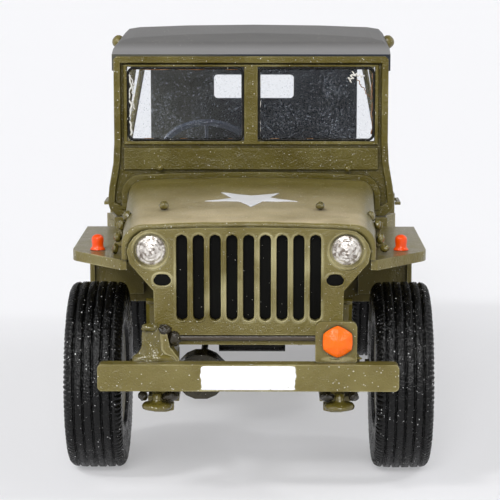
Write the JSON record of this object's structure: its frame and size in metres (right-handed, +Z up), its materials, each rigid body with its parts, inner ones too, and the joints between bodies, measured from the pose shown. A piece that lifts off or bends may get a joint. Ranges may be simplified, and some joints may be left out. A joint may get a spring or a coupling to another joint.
{
  "type": "scale model of a four-wheel-drive army utility car",
  "caption": "Painted plastic kit model of an open four-wheel-drive army utility car with its soft top up, slotted grille, flat fenders and wheels that turn",
  "frame": {"origin": "on the ground, in the middle of the model's length and width", "axes": "+Z up; the car faces -Y; +X is the car's left-hand side"},
  "size_m": [0.0576, 0.1386, 0.0673],
  "materials": {
    "olive_paint": "hand-brushed olive drab enamel, satin, with brush lumps, dust specks and worn pale edges",
    "black_paint": "brushed black enamel, satin",
    "black_tyre": "black vinyl with road tread, glossy on the lugs",
    "grey_top": "dark grey painted soft top moulded in plastic, slight sheen",
    "clear_plastic": "clear styrene pane, slightly scratched, with glue marks at its edges",
    "lamp_silver": "silver paint under a clear moulded lens",
    "orange_paint": "bright orange gloss enamel",
    "seat_paint": "matt khaki enamel over moulded seat cushions"
  },
  "bodies": {
    "body": {"chassis_frame": "olive_paint", "front_bumper": "olive_paint", "rear_bumperettes": "olive_paint", "tow_hitch": "black_paint", "front_axle": "black_paint", "rear_axle": "black_paint", "tie_rod": "black_paint", "front_springs": "olive_paint", "rear_springs": "olive_paint", "shock_absorbers": "black_paint", "engine_gearbox": "black_paint", "prop_shafts": "black_paint", "exhaust": "black_paint", "skid_plate": "olive_paint", "radiator": "black_paint", "grille": "olive_paint", "headlamps": "olive_paint", "headlamp_lenses": "lamp_silver", "hood": "olive_paint", "hood_blocks": "olive_paint", "hood_catches": "olive_paint", "fender_left": "olive_paint", "fender_right": "olive_paint", "fender_lamps": "orange_paint", "signal_lamp_stand": "olive_paint", "signal_lamp": "orange_paint", "cowl": "olive_paint", "body_tub": "olive_paint", "dashboard": "olive_paint", "windshield_frame": "olive_paint", "windshield_panes": "clear_plastic", "canvas_top": "grey_top", "top_bows": "olive_paint", "driver_seat": "seat_paint", "passenger_seat": "seat_paint", "rear_bench": "seat_paint", "steering_wheel": "black_paint", "control_levers": "black_paint", "tail_lamps": "black_paint", "grab_handles": "olive_paint", "spare_carrier": "olive_paint", "spare_rim": "olive_paint", "spare_tyre": "black_tyre"},
    "wheel_front_left": {"rim_front_left": "olive_paint", "tyre_front_left": "black_tyre"},
    "wheel_front_right": {"rim_front_right": "olive_paint", "tyre_front_right": "black_tyre"},
    "wheel_rear_left": {"rim_rear_left": "olive_paint", "tyre_rear_left": "black_tyre"},
    "wheel_rear_right": {"rim_rear_right": "olive_paint", "tyre_rear_right": "black_tyre"}
  },
  "joints": [
    {"name": "wheel_front_left_spin", "type": "hinge", "parent": "body", "child": "wheel_front_left", "pos_m": [0.0243, -0.04595, 0.015], "axis": [1, 0, 0], "continuous": true},
    {"name": "wheel_front_right_spin", "type": "hinge", "parent": "body", "child": "wheel_front_right", "pos_m": [-0.0243, -0.04595, 0.015], "axis": [1, 0, 0], "continuous": true},
    {"name": "wheel_rear_left_spin", "type": "hinge", "parent": "body", "child": "wheel_rear_left", "pos_m": [0.0243, 0.03872, 0.015], "axis": [1, 0, 0], "continuous": true},
    {"name": "wheel_rear_right_spin", "type": "hinge", "parent": "body", "child": "wheel_rear_right", "pos_m": [-0.0243, 0.03872, 0.015], "axis": [1, 0, 0], "continuous": true}
  ]
}
